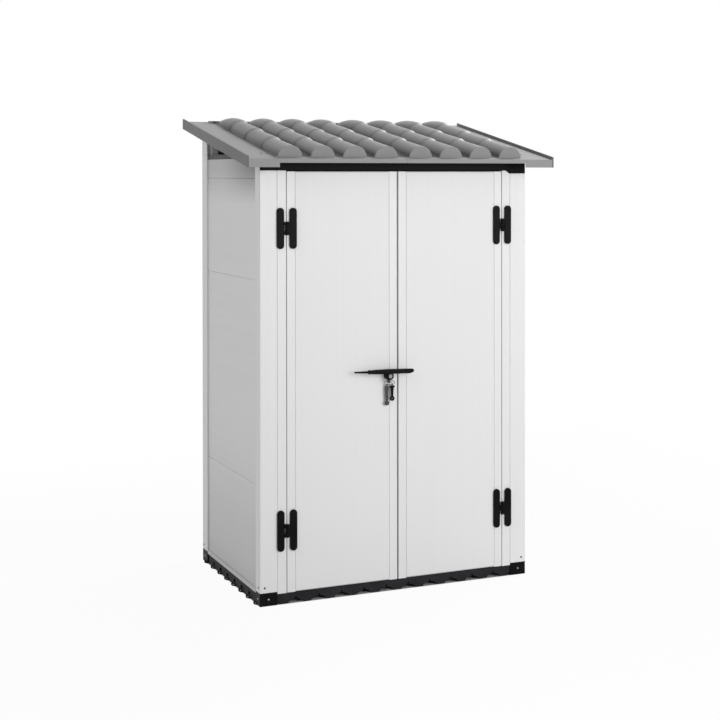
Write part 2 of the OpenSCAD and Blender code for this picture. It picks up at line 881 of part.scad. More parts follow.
module bar_outline() {
  h = bar_h / 2;
  polygon([
    [-bar_left, -h * 0.7], [-bar_left, h * 0.6], [-bar_left * 0.75, h * 0.85], [-bar_left * 0.2, h],
    [bar_right - bar_nose * 0.3, h], [bar_right - bar_nose * 0.05, h * 0.7], [bar_right, h * 0.2],
    [bar_right - bar_nose * 0.25, -h * 0.45], [bar_right - bar_nose, -h * 0.85],
    [bar_right * 0.4, -h * 0.8], [-bar_left * 0.2, -h * 0.9], [-bar_left * 0.75, -h * 0.85]
  ]);
}

// Lock cylinder with its rosette and keyway, in the middle of the lever
module lock_cylinder() {
  color([0.65, 0.65, 0.66]) translate([latch_x, front, latch_z]) difference() {
    union() {
      translate([0, -lock_back - slip, 0]) rotate([90, 0, 0])
        cylinder(h = lock_front - lock_back, r = lock_r);
      translate([0, -lock_front, 0]) rotate([90, 0, 0])
        cylinder(h = rosette_t, r1 = rosette_r, r2 = rosette_r - 1);
    }
    translate([-keyway_w / 2, -lock_front - rosette_t - cut, -keyway_h / 2])
      cube([keyway_w, keyway_d + cut, keyway_h]);
  }
}

// Flattened wire loop that hangs over the peg, drawn around the middle of the loop
module key_ring() {
  span = ring_w / 2 - ring_h / 2;
  color([0.5, 0.5, 0.5]) translate([ring_x, front - ring_off, ring_top - ring_h / 2]) {
    for (s = [-1, 1]) {
      translate([-span, 0, s * ring_h / 2]) rotate([0, 90, 0]) cylinder(h = 2 * span, r = wire_r);
      translate([s * span, 0, 0]) rotate([90, s > 0 ? 90 : -90, 0])
        rotate_extrude(angle = 180) translate([ring_h / 2, 0]) circle(wire_r, $fn = 24);
    }
  }
}

// Hanging key: an eye on the loop, a flat tapering stem and a round bow at the bottom
module hanging_key(x, len, w_top, head_w, bow_r, bow_hole) {
  drop = ring_h + eye_hole_r - wire_r - slip / 3;
  translate([ring_x + x, front - ring_off, ring_top - drop]) difference() {
    union() {
      translate([-key_t / 2, 0, 0]) rotate([0, 90, 0]) cylinder(h = key_t, r = eye_r);
      translate([0, key_t, 0]) rotate([90, 0, 0]) linear_extrude(2 * key_t) {
        polygon([
          [-head_w / 2, -eye_r - shoulder], [-head_w / 2 + 1, -eye_r + slip],
          [head_w / 2 - 1, -eye_r + slip], [head_w / 2, -eye_r - shoulder],
          [w_top / 2, -eye_r - neck], [key_low_w / 2, -len + 1.6 * bow_r],
          [-key_low_w / 2, -len + 1.6 * bow_r], [-w_top / 2, -eye_r - neck]
        ]);
        translate([0, -len + bow_r]) circle(bow_r);
      }
    }
    translate([-key_t, 0, 0]) rotate([0, 90, 0]) cylinder(h = 2 * key_t, r = eye_hole_r);
    if (bow_hole > 0)
      translate([0, 2 * key_t, -len + bow_r]) rotate([90, 0, 0]) cylinder(h = 4 * key_t, r = bow_hole);
  }
}

module long_key() {
  color([0.35, 0.35, 0.35]) hanging_key(-key_x, key_long_len, long_top_w, long_head_w, long_bow_r, 0);
}

module short_key() {
  color([0.06, 0.06, 0.06])
    hanging_key(key_x, key_short_len, short_top_w, short_head_w, short_bow_r, short_bow_hole);
}

// Sloped sheet between two x values, from one height below the roof surface to another
module sloped(x0, x1, y0, y1, low, high) {
  translate([x0, 0, 0]) rotate([90, 0, 90]) linear_extrude(x1 - x0)
    polygon([
      [y0, roof_top(y0) + low], [y1, roof_top(y1) + low],
      [y1, roof_top(y1) + high], [y0, roof_top(y0) + high]
    ]);
}

// Row of tapering half round tiles along the slope, the last one sinks into the sheet.
// A shrink above 0 makes the hollow inside, each of its steps that far behind the outer one.
module tile_row(x, shrink) {
  start = eave + row_front;
  len = (rear - row_back - start) / cos(roof_slope);
  step = len / tiles_in_row;
  tail_tilt = atan(tail_drop / step);
  tail_lead = barrel_r * sin(tail_tilt);
  tail_len = (step - tail_drop * sin(tail_tilt)) / cos(tail_tilt) + tail_lead;
  translate([x, start, roof_top(start)]) rotate([roof_slope - 90, 0, 0]) translate([0, barrel_sink, 0]) {
    for (i = [0:tiles_in_row - 2])
      translate([0, 0, i * step + shrink])
        cylinder(h = step + cut, r1 = barrel_r - shrink, r2 = barrel_narrow - shrink, $fn = 64);
    translate([0, 0, (tiles_in_row - 1) * step]) rotate([-tail_tilt, 0, 0])
      translate([0, 0, shrink - tail_lead])
        cylinder(h = tail_len - 2 * shrink, r1 = barrel_r - shrink, r2 = tail_r - shrink, $fn = 64);
  }
}

// Left half of the roof as one thin sheet with rims, a side lip and raised tile rows
module roof_left() {
  seam = -slip / 2;
  lip_y = rear - back_lip_y;
  color([0.6, 0.6, 0.6]) difference() {
    union() {
      sloped(-roof_half, seam, eave, rear, -sheet_t, 0);
      sloped(-roof_half, -roof_half + lip_t, eave, rear, -rim_drop, lip_h);
      sloped(-roof_half, seam, eave, eave + sheet_t, -shallow_drop, 0);
      sloped(-roof_half, -roof_half + corner_w, eave, eave + sheet_t, -rim_drop, 0);
      sloped(-roof_half, seam, rear - sheet_t, rear, -rim_drop, 0);
      sloped(-roof_half + back_lip_x, seam, lip_y - sheet_t, lip_y, -sheet_t, back_lip_h);
      intersection() {
        union() {
          for (i = [0:rows - 1]) tile_row(-row_x(i), 0);
        }
        sloped(-roof_half, seam, eave, rear, -sheet_t / 2, 2 * barrel_r);
      }
    }
    for (i = [0:rows - 1]) tile_row(-row_x(i), barrel_wall);
    for (p = roof_screw_spots)
      translate(p) rotate([roof_slope, 0, 0]) cylinder(h = 3 * sheet_t, r = screw_r + fit, center = true);
  }
}

module roof_right() { mirror([1, 0, 0]) roof_left(); }

module roof_screws() {
  color([0.45, 0.45, 0.46]) for (on = [false, true]) flip_x(on)
    for (p = roof_screw_spots) translate(p) rotate([roof_slope, 0, 0]) translate([0, 0, seat_gap])
      screw(screw_head_r, sheet_t - slip);
}

floor_tile(0, 0);  // floor_tile_1
floor_tile(1, 0);  // floor_tile_2
floor_tile(2, 0);  // floor_tile_3
floor_tile(0, 1);  // floor_tile_4
floor_tile(1, 1);  // floor_tile_5
floor_tile(2, 1);  // floor_tile_6
base_block_front_left();
base_block_front_right();
base_block_back_left();
base_block_back_right();
base_screws();
post_screws();
post_front_left();
post_front_right();
post_back_left();
post_back_right();
jamb_left();
jamb_right();
header();
top_block_left();
top_block_right();
side_rail_left();
side_rail_right();
roof_beam();
side_board(0);  // left_board_1
side_board(1);  // left_board_2
side_board(2);  // left_board_3
side_board(3);  // left_board_4
mirror([1, 0, 0]) side_board(0);  // right_board_1
mirror([1, 0, 0]) side_board(1);  // right_board_2
mirror([1, 0, 0]) side_board(2);  // right_board_3
mirror([1, 0, 0]) side_board(3);  // right_board_4
back_board(0);  // back_board_1
back_board(1);  // back_board_2
back_board(2);  // back_board_3
back_board(3);  // back_board_4
left_door_panel();
right_door_panel();
left_door_hinge_stile();
right_door_hinge_stile();
left_door_meeting_stile();
right_door_meeting_stile();
left_door_top_cap();
left_door_bottom_cap();
right_door_top_cap();
right_door_bottom_cap();
left_frame_hinges();
right_frame_hinges();
left_door_hinges();
right_door_hinges();
hinge_pins();
latch_plate();
latch_lever();
lock_cylinder();
key_ring();
long_key();
short_key();
roof_left();
roof_right();
roof_screws();
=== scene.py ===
import json
import math

import bpy
import bmesh
from mathutils import Matrix, Vector


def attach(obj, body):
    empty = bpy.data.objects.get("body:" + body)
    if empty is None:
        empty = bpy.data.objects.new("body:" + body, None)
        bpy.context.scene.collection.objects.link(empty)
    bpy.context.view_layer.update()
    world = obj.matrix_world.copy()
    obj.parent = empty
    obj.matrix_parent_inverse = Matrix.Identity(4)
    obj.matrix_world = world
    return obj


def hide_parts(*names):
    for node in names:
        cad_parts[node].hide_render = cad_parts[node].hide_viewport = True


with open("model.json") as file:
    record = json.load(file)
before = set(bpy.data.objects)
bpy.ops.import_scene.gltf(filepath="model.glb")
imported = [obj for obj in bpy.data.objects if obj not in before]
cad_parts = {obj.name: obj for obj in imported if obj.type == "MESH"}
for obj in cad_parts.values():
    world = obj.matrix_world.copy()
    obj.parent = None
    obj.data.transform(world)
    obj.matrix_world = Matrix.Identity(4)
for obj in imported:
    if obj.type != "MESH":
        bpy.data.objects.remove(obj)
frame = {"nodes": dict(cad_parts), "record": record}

scene = bpy.context.scene
record = frame["record"]
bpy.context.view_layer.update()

slotOf = {part["node"]: part["material_slot"] for part in record["subparts"]}
bodyOf = {node: body for body, nodes in record["behaviour"]["bodies"].items() for node in nodes}


class Field:
    # one output socket; sums and products on it add the nodes
    def __init__(self, tree, socket):
        self.tree = tree
        self.socket = socket

    def output(self, name):
        return Field(self.tree, self.socket.node.outputs[name])

    def maths(self, operation, first, second=0.0):
        sockets = {0: first, 1: second}
        return Nodes(self.tree).add("ShaderNodeMath", {"operation": operation}, sockets)

    def __add__(self, other):
        return self.maths("ADD", self, other)

    def __sub__(self, other):
        return self.maths("SUBTRACT", self, other)

    def __mul__(self, other):
        return self.maths("MULTIPLY", self, other)

    def __radd__(self, other):
        return self.maths("ADD", other, self)

    def __rsub__(self, other):
        return self.maths("SUBTRACT", other, self)

    def __rmul__(self, other):
        return self.maths("MULTIPLY", other, self)

    def largest(self, other):
        return self.maths("MAXIMUM", self, other)

    def size(self):
        return self.maths("ABSOLUTE", self)

    def folded(self, length):
        return self.maths("PINGPONG", self, length)


class Nodes:
    def __init__(self, tree):
        self.tree = tree

    def add(self, kind, settings=None, sockets=None, out=0):
        node = self.tree.nodes.new(kind)
        for name, value in (settings or {}).items():
            setattr(node, name, value)
        for name, value in (sockets or {}).items():
            if isinstance(value, Field):
                self.tree.links.new(value.socket, node.inputs[name])
            else:
                node.inputs[name].default_value = value
        return Field(self.tree, node.outputs[out]) if node.outputs else None

    def blend(self, factor, first, second):
        first, second = [c if isinstance(c, Field) else (*c, 1.0) for c in (first, second)]
        return self.add("ShaderNodeMix", {"data_type": "RGBA"}, {0: factor, 6: first, 7: second}, 2)

    def noise(self, place, scale, detail=2.0, rough=0.5):
        return self.add("ShaderNodeTexNoise", {}, {
            "Vector": place, "Scale": scale, "Detail": detail, "Roughness": rough})

    def stretched(self, place, scale):
        return self.add("ShaderNodeMapping", {}, {"Vector": place, "Scale": scale})

    def ramp(self, value, low, high, first=0.0, second=1.0):
        return self.add("ShaderNodeMapRange", {"interpolation_type": "SMOOTHSTEP"},
                        {"Value": value, 1: low, 2: high, 3: first, 4: second})


def startFinish(name):
    material = bpy.data.materials.new(name)
    material.use_nodes = True
    material.node_tree.nodes.clear()
    nodes = Nodes(material.node_tree)
    return material, nodes, nodes.add("ShaderNodeTexCoord", out="Object")


def endFinish(nodes, height, depth, sockets):
    bump = nodes.add("ShaderNodeBump", {}, {"Height": height, "Distance": depth, "Strength": 1.0})
    shader = nodes.add("ShaderNodeBsdfPrincipled", {}, {**sockets, "Normal": bump})
    nodes.add("ShaderNodeOutputMaterial", {}, {"Surface": shader})


view = {"place": (-2.4144, -5.8377, 1.6883), "yaw": 0.4271, "pitch": 0.0073, "roll": -0.0009,
        "lens": 73.604, "sensor": 36.0, "shift": (-0.0773, -0.2412)}

cameraData = bpy.data.cameras.new("camera")
cameraData.lens = view["lens"]
cameraData.sensor_width = view["sensor"]
cameraData.shift_x, cameraData.shift_y = view["shift"]
camera = bpy.data.objects.new("camera", cameraData)
camera.location = view["place"]
camera.rotation_euler = (math.pi / 2 - view["pitch"], -view["roll"], -view["yaw"])
scene.collection.objects.link(camera)
scene.camera = camera

lamps = {
    "keyLamp": {"place": (2.4, -6.0, 2.3), "aim": (0.0, 0.0, 1.2), "size": 3.8, "power": 215.0},
    "sideLamp": {"place": (-5.2, -1.6, 3.0), "aim": (0.0, 0.0, 1.4), "size": 3.0, "power": 60.0},
    "topLamp": {"place": (3.4, 1.2, 5.0), "aim": (0.0, 0.0, 1.8), "size": 1.6, "power": 190.0},
}

for name, lamp in lamps.items():
    lampData = bpy.data.lights.new(name, "AREA")
    lampData.size = lamp["size"]
    lampData.energy = lamp["power"]
    lampObject = bpy.data.objects.new(name, lampData)
    lampObject.location = lamp["place"]
    aim = Vector(lamp["aim"]) - Vector(lamp["place"])
    lampObject.rotation_euler = aim.to_track_quat("-Z", "Y").to_euler()
    scene.collection.objects.link(lampObject)

room = {"ambient": 0.36, "floorColour": (0.6, 0.6, 0.6), "floorWhite": 0.95, "floorReach": 40.0,
        "footprint": (0.584, 0.390), "footprintMiddle": 0.04, "contact": (0.0, 0.008),
        "fade": (0.3, 3.0)}


def seenDirectly(nodes):
    # 1 on rays from the camera, also by way of gloss or glass, 0 on the rays that light the shed
    path = nodes.add("ShaderNodeLightPath")
    return path.largest(path.output("Is Glossy Ray")).largest(path.output("Is Transmission Ray"))


world = bpy.data.worlds.new("room")
world.use_nodes = True
world.node_tree.nodes.clear()
scene.world = world
nodes = Nodes(world.node_tree)
soft = nodes.add("ShaderNodeBackground", {}, {"Color": (1, 1, 1, 1), "Strength": room["ambient"]})
plain = nodes.add("ShaderNodeBackground", {}, {"Color": (1, 1, 1, 1), "Strength": 1.0})
mixed = nodes.add("ShaderNodeMixShader", {}, {0: seenDirectly(nodes), 1: soft, 2: plain})
nodes.add("ShaderNodeOutputWorld", {}, {"Surface": mixed})

floorFinish, nodes, place = startFinish("paleFloor")
split = nodes.add("ShaderNodeSeparateXYZ", {}, {0: place})
beside = split.size() - room["footprint"][0]
before = (split.output("Y") - room["footprintMiddle"]).size() - room["footprint"][1]
away = beside.largest(before)
whiteness = nodes.ramp(away, *room["contact"], 0.0, room["floorWhite"])
whiteness = whiteness + nodes.ramp(away, *room["fade"], 0.0, 1.0 - room["floorWhite"])
whiteness = whiteness * seenDirectly(nodes)
matt = nodes.add("ShaderNodeBsdfDiffuse", {}, {"Color": (*room["floorColour"], 1)})
glow = nodes.add("ShaderNodeEmission", {}, {"Color": (1, 1, 1, 1), "Strength": 1.0})
mixed = nodes.add("ShaderNodeMixShader", {}, {0: whiteness, 1: matt, 2: glow})
nodes.add("ShaderNodeOutputMaterial", {}, {"Surface": mixed})

reach = room["floorReach"]
corners = [(-reach, -reach, 0), (reach, -reach, 0), (reach, reach, 0), (-reach, reach, 0)]
floorMesh = bpy.data.meshes.new("floor")
floorMesh.from_pydata(corners, [], [(0, 1, 2, 3)])
floorMesh.materials.append(floorFinish)
floor = bpy.data.objects.new("floor", floorMesh)
scene.collection.objects.link(floor)
print("camera, lamps and floor ready")


def whiteExtrusion(name, look):
    # fine streaks along the profile over a broad cloud of wear, and a tight grain
    material, nodes, place = startFinish(name)
    streaks = nodes.noise(nodes.stretched(place, look["stretch"]), 1.0, 4.0, 0.6)
    cloud = nodes.noise(place, look["cloud"], 3.0)
    grain = nodes.noise(place, look["grain"], 1.0)
    worn = streaks * look["streakShare"] + cloud * (1.0 - look["streakShare"])
    colour = nodes.blend(nodes.ramp(worn, *look["wear"]), look["colour"], look["shade"])
    endFinish(nodes, streaks * look["streakRelief"] + grain * look["grainRelief"], look["relief"], {
        "Base Color": colour, "Roughness": look["roughness"] + streaks * look["spread"],
        "Specular IOR Level": look["gloss"]})
    return material


def wallBoards(name, look):
    # painted shade darkens the boards towards the foot, under the eave and in the joint by the
    # front post
    material, nodes, place = startFinish(name)
    split = nodes.add("ShaderNodeSeparateXYZ", {}, {0: place})
    depth, height = split.output("Y"), split.output("Z")
    streaks = nodes.noise(nodes.stretched(place, look["stretch"]), 1.0, 4.0, 0.6)
    cloud = nodes.noise(place, look["cloud"], 3.0)
    # painted shade: the boards darken towards the foot
    foot = nodes.ramp(height + cloud * look["footUneven"], *look["foot"]) * look["footShare"]
    foot = foot + nodes.ramp(height, *look["footShadeLow"]) * (1.0 - look["footShare"])
    # painted shadow of the eave on the top of the boards, towards the front
    eave = nodes.ramp(height, *look["eave"]) * nodes.ramp(depth, *look["eaveShadowDepth"])
    # painted shade in the joint beside the front post
    joint = nodes.ramp(depth, *look["joint"]) * look["jointShade"]
    colour = nodes.blend(nodes.ramp(streaks, *look["wear"]), look["colour"], look["shade"])
    colour = nodes.blend(foot, colour, look["footShadeColour"])
    colour = nodes.blend(eave, colour, look["eaveShadowColour"])
    colour = nodes.blend(joint, colour, look["jointShadeColour"])
    endFinish(nodes, streaks * look["streakRelief"], look["relief"], {
        "Base Color": colour, "Roughness": look["roughness"] + streaks * look["spread"],
        "Specular IOR Level": look["gloss"]})
    return material


def mouldedPlastic(name, look):
    # pebbled grain as from a tool, with a slow change of shade
    material, nodes, place = startFinish(name)
    grain = nodes.add("ShaderNodeTexVoronoi", {"feature": "SMOOTH_F1"},
                      {"Vector": place, "Scale": look["grain"], "Smoothness": 0.6}, "Distance")
    cloud = nodes.noise(place, look["cloud"], 4.0, 0.55)
    fine = nodes.noise(place, look["fine"], 2.0)
    colour = nodes.blend(nodes.ramp(cloud, *look["wear"]), look["colour"], look["shade"])
    endFinish(nodes, grain * look["grainRelief"] + fine * look["fineRelief"], look["relief"], {
        "Base Color": colour, "Roughness": look["roughness"] + cloud * look["spread"],
        "Specular IOR Level": look["gloss"]})
    return material


def roofPlastic(name, look):
    # painted shade darkens the valleys between the tile rows, varied by dirt; painted shade darkens
    # the outer lips
    material, nodes, place = startFinish(name)
    split = nodes.add("ShaderNodeSeparateXYZ", {}, {0: place})
    outwards = split.size()
    fromCrest = (outwards - look["firstRow"]).folded(look["pitch"] / 2)
    # painted shade in the valleys between the tile rows
    valley = nodes.ramp(fromCrest, *look["valley"])
    valley = valley * nodes.ramp(split.output("Y"), *look["rowsFront"])
    valley = valley * nodes.ramp(outwards, *look["rowsEdge"])
    # painted shade on the outer lips
    lip = nodes.ramp(outwards, *look["lip"])
    cloud = nodes.noise(place, look["cloud"], 4.0, 0.55)
    grain = nodes.noise(place, look["grain"], 2.0)
    dirt = nodes.noise(place, look["dirt"], 3.0, 0.6)
    # the painted valley shade, varied by dirt noise
    valleyShadeAndDust = valley * (look["valleyShade"] + dirt * look["valleyDirt"])
    colour = nodes.blend(nodes.ramp(cloud, *look["wear"]), look["colour"], look["shade"])
    colour = nodes.blend(valleyShadeAndDust, colour, look["valleyShadeColour"])
    colour = nodes.blend(lip, colour, look["lipShadeColour"])
    endFinish(nodes, grain * look["grainRelief"] + dirt * look["dirtRelief"], look["relief"], {
        "Base Color": colour, "Roughness": look["roughness"] + cloud * look["spread"],
        "Specular IOR Level": look["gloss"]})
    return material


def screwMetal(name, look):
    # fine scratches and dull spots
    material, nodes, place = startFinish(name)
    scratches = nodes.noise(nodes.stretched(place, look["scratches"]), 1.0, 3.0)
    spots = nodes.noise(place, look["spots"], 3.0, 0.65)
    colour = nodes.blend(nodes.ramp(spots, *look["wear"]), look["colour"], look["shade"])
    endFinish(nodes, scratches, look["relief"], {
        "Base Color": colour, "Metallic": look["metal"],
        "Roughness": look["roughness"] + scratches * look["spread"]})
    return material


white = {
    "colour": (0.79, 0.79, 0.79), "shade": (0.772, 0.772, 0.775), "wear": (0.35, 0.68),
    "streakShare": 0.6, "stretch": (150.0, 150.0, 0.7), "cloud": 1.7, "grain": 1400.0,
    "roughness": 0.38, "spread": 0.08, "gloss": 0.45, "relief": 0.00007, "streakRelief": 0.5,
    "grainRelief": 0.16,
}
wall = {
    **white, "stretch": (0.7, 0.7, 150.0),
    # painted shade towards the foot
    "foot": (0.75, 0.1), "footUneven": 0.1, "footShare": 0.75, "footShadeLow": (0.16, 0.05),
    "footShadeColour": (0.56, 0.56, 0.565),
    # painted shadow under the eave
    "eave": (1.55, 1.735), "eaveShadowDepth": (0.2, -0.3, 0.42, 1.0), "eaveShadowColour": (0.2, 0.2, 0.203),
    # painted shade in the joint beside the front post
    "joint": (-0.289, -0.294), "jointShade": 0.6, "jointShadeColour": (0.3, 0.3, 0.305),
}
black = {
    "colour": (0.0035, 0.0035, 0.004), "shade": (0.006, 0.006, 0.0065), "wear": (0.3, 0.7),
    "cloud": 9.0, "grain": 1500.0, "fine": 2550.0, "roughness": 0.36, "spread": 0.12,
    "gloss": 0.05, "relief": 0.00005, "grainRelief": 0.8, "fineRelief": 0.3,
}
roofLook = {
    "colour": (0.245, 0.245, 0.245), "shade": (0.27, 0.27, 0.27), "wear": (0.3, 0.7),
    # painted shade for the valleys between the tile rows
    "valleyShadeColour": (0.03, 0.03, 0.03), "valleyShade": 0.75, "valleyDirt": 0.3,
    # painted shade for the outer lips
    "lipShadeColour": (0.105, 0.105, 0.105), "cloud": 3.0, "grain": 1300.0, "dirt": 42.0,
    "roughness": 0.38, "spread": 0.12, "gloss": 0.35, "relief": 0.00008, "grainRelief": 0.7,
    "dirtRelief": 0.3, "firstRow": 0.07575, "pitch": 0.136, "valley": (0.031, 0.055),
    "rowsFront": (-0.418, -0.408), "rowsEdge": (0.556, 0.54), "lip": (0.6635, 0.6645),
}
metal = {
    "colour": (0.36, 0.36, 0.37), "shade": (0.22, 0.22, 0.225), "wear": (0.4, 0.72),
    "scratches": (900.0, 900.0, 90.0), "spots": 260.0, "metal": 1.0, "roughness": 0.3,
    "spread": 0.15, "relief": 0.00002,
}
coated = {**metal, "metal": 0.0}

finishes = {
    "door_white": whiteExtrusion("doorWhite", white),
    "stile_white": whiteExtrusion("stileWhite", {**white, "roughness": 0.32}),
    "post_white": whiteExtrusion("postWhite", {**white, "roughness": 0.33}),
    "wall_white": wallBoards("wallWhite", wall),
    "cap_grey": mouldedPlastic("capGrey", {
        **black, "colour": (0.56, 0.56, 0.57), "shade": (0.5, 0.5, 0.51), "roughness": 0.4,
        "gloss": 0.4}),
    "black_fitting": mouldedPlastic("blackFitting", black),
    "hinge_black": mouldedPlastic("hingeBlack", {**black, "roughness": 0.34}),
    "latch_black": mouldedPlastic("latchBlack", {
        **black, "colour": (0.0025, 0.0025, 0.003), "roughness": 0.3}),
    "dark_rail": mouldedPlastic("darkRail", {
        **black, "colour": (0.085, 0.085, 0.087), "shade": (0.11, 0.11, 0.112)}),
    "floor_grey": mouldedPlastic("floorGrey", {
        **black, "colour": (0.020, 0.020, 0.023), "shade": (0.030, 0.030, 0.034),
        "roughness": 0.5}),
    "roof_grey": roofPlastic("roofGrey", roofLook),
    "zinc_screw": screwMetal("zincScrew", metal),
    "dark_screw": screwMetal("darkScrew", {
        **coated, "colour": (0.012, 0.012, 0.012), "shade": (0.02, 0.02, 0.02)}),
    "grey_screw": screwMetal("greyScrew", {
        **coated, "colour": (0.09, 0.09, 0.095), "shade": (0.13, 0.13, 0.13)}),
    "hinge_pin": screwMetal("hingePin", {
        **coated, "colour": (0.02, 0.02, 0.02), "shade": (0.04, 0.04, 0.04)}),
    "lock_metal": screwMetal("lockMetal", {
        **metal, "colour": (0.2, 0.2, 0.205), "shade": (0.12, 0.12, 0.122)}),
    "ring_metal": screwMetal("ringMetal", {
        **metal, "colour": (0.16, 0.16, 0.16), "shade": (0.1, 0.1, 0.1)}),
    "key_grey": screwMetal("keyGrey", {
        **metal, "colour": (0.042, 0.042, 0.043), "shade": (0.03, 0.03, 0.031)}),
    "key_black": screwMetal("keyBlack", {
        **metal, "colour": (0.005, 0.005, 0.005), "shade": (0.01, 0.01, 0.01)}),
}

for name, node in frame["nodes"].items():
    for index in range(len(node.material_slots)):
        node.material_slots[index].material = finishes[slotOf[name]]
print("finishes ready")


# metres within which points are one, and degrees for flat faces, rounded edges and sharp shading
limits = {"samePoint": 0.00001, "sameJoint": 0.00002, "sameCopy": 0.00005, "flat": 1.0,
          "rounded": 30.0, "sharp": 35.0}


def pieceFrom(name, build):
    shape = bpy.data.meshes.new(name)
    build.to_mesh(shape)
    build.free()
    shape.shade_smooth()
    shape.set_sharp_from_angle(angle=math.radians(limits["sharp"]))
    piece = bpy.data.objects.new(name, shape)
    scene.collection.objects.link(piece)
    return piece


def bakeModifiers(piece):
    evaluated = piece.evaluated_get(bpy.context.evaluated_depsgraph_get())
    shape = bpy.data.meshes.new_from_object(evaluated)
    piece.modifiers.clear()
    piece.data = shape
    return piece


def evenShading(piece):
    weighted = piece.modifiers.new("evenShading", "WEIGHTED_NORMAL")
    weighted.keep_sharp = True
    return bakeModifiers(piece)


def settle(piece, *nodes):
    slot = slotOf[nodes[0]]
    piece.data.materials.clear()
    piece.data.materials.append(finishes[slot])
    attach(piece, bodyOf[nodes[0]])
    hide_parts(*nodes)
    return piece


def roundEdges(build, look):
    # rounds the convex edges that are longer than "least"
    edges = [edge for edge in build.edges
             if len(edge.link_faces) == 2 and edge.calc_length() > look["least"]
             and edge.calc_face_angle_signed(0.0) > math.radians(limits["rounded"])]
    bmesh.ops.bevel(build, geom=edges, offset=look["round"], offset_type="OFFSET",
                    segments=look["steps"], profile=0.5, affect="EDGES", clamp_overlap=False)


def softenedCopy(node, look):
    build = bmesh.new()
    build.from_mesh(frame["nodes"][node].data)
    bmesh.ops.remove_doubles(build, verts=build.verts, dist=limits["samePoint"])
    bmesh.ops.dissolve_limit(build, angle_limit=math.radians(limits["flat"]), verts=build.verts,
                             edges=build.edges)
    roundEdges(build, look)
    return settle(evenShading(pieceFrom(node + "_soft", build)), node)


softEdges = [
    ({"round": 0.0009, "steps": 2, "least": 0.03},
     ["post_front_left", "post_front_right", "post_back_left", "post_back_right", "jamb_left",
      "jamb_right"]),
    ({"round": 0.0007, "steps": 2, "least": 0.05},
     [side + "_board_" + str(i) for side in ("left", "right", "back") for i in (1, 2, 3, 4)]),
    ({"round": 0.0008, "steps": 2, "least": 0.05},
     [side + "_door_" + part for side in ("left", "right")
      for part in ("panel", "hinge_stile", "meeting_stile", "top_cap", "bottom_cap")]),
    ({"round": 0.0016, "steps": 3, "least": 0.004},
     ["header", "top_block_left", "top_block_right", "base_block_front_left",
      "base_block_front_right", "base_block_back_left", "base_block_back_right", "side_rail_left",
      "side_rail_right", "roof_beam"]),
    ({"round": 0.0011, "steps": 3, "least": 0.0004},
     ["left_frame_hinges", "right_frame_hinges", "left_door_hinges", "right_door_hinges"]),
    ({"round": 0.0006, "steps": 2, "least": 0.0002},
     ["hinge_pins", "latch_plate", "lock_cylinder"]),
    ({"round": 0.0006, "steps": 2, "least": 0.0004}, ["long_key", "short_key"]),
    ({"round": 0.0006, "steps": 1, "least": 0.004}, ["floor_tile_" + str(i) for i in range(1, 7)]),
]

for look, names in softEdges:
    for name in names:
        softenedCopy(name, look)
print("profiles, boards and fittings softened")


roof = {
    "slope": 10.7, "height": 1.754, "front": -0.455, "back": 0.455, "half": 0.672, "seam": 0.00015,
    "sheet": 0.0036, "sheetIn": 0.002, "backIn": 0.001, "inside": 0.0001,
    "lipWidth": 0.008, "lipHeight": 0.0115, "rimDrop": 0.033, "rimThick": 0.004,
    "shallowDrop": 0.016, "corner": 0.133, "backLip": 0.009, "backLipIn": 0.106,
    "backLipDeep": 0.03, "rims": {"round": 0.0011, "steps": 2, "least": 0.0},
    "bars": {"round": 0.0016, "steps": 3, "least": 0.0},
}
rows = {
    "count": 4, "pitch": 0.136, "first": 0.07575, "front": 0.038, "back": 0.024, "tiles": 4,
    "wide": 0.051, "narrow": 0.0452, "sink": 0.0048, "tailRadius": 0.055, "tailDrop": 0.037,
    "tailBend": 2.0, "fillet": 0.004, "filletSteps": 4, "arcSteps": 22,
    "tileParts": (0.08, 0.2, 0.35, 0.5, 0.65, 0.78, 0.9, 0.98),
    # pairs of distance along the row and change of radius that soften an edge
    "frontEdge": ((0.0, -0.0016), (0.0005, -0.0005), (0.0016, 0.0)),
    "tileEnd": ((-0.004, 0.0), (-0.001, 0.0008)),
    "tileStart": ((0.002, -0.0028), (0.005, -0.0011), (0.009, -0.0003)),
    "backEdge": ((-0.001, -0.0008), (0.0, -0.003)),
}
slope = math.radians(roof["slope"])
roofRun = (roof["back"] - roof["front"] - roof["backIn"]) / math.cos(slope)
rowRun = (roof["back"] - roof["front"] - rows["front"] - rows["back"]) / math.cos(slope)
rowStart = rows["front"] / math.cos(slope)


def onRoof(x, along, out):
    return Vector((x, roof["front"] + along * math.cos(slope) - out * math.sin(slope),
                   roof["height"] + along * math.sin(slope) + out * math.cos(slope)))


def rowSection(radius, drop, half):
    # x and height across one row, with a small hollow fillet at the foot of the arc
    fillet, filletSteps, arcSteps = rows["fillet"], rows["filletSteps"], rows["arcSteps"]
    foot = math.sqrt((radius + fillet) ** 2 - (fillet + drop) ** 2)
    start = math.asin((fillet + drop) / (radius + fillet))
    side = [(-half, 0.0), (-(half + foot) / 2, 0.0)]
    for i in range(filletSteps):
        turn = (math.pi / 2 - start) * i / filletSteps
        side.append((-foot + fillet * math.sin(turn), fillet - fillet * math.cos(turn)))
    arc = []
    for i in range(arcSteps + 1):
        turn = start + (math.pi - 2 * start) * i / arcSteps
        arc.append((-radius * math.cos(turn), radius * math.sin(turn) - drop))
    return side + arc + [(-x, h) for x, h in reversed(side)]


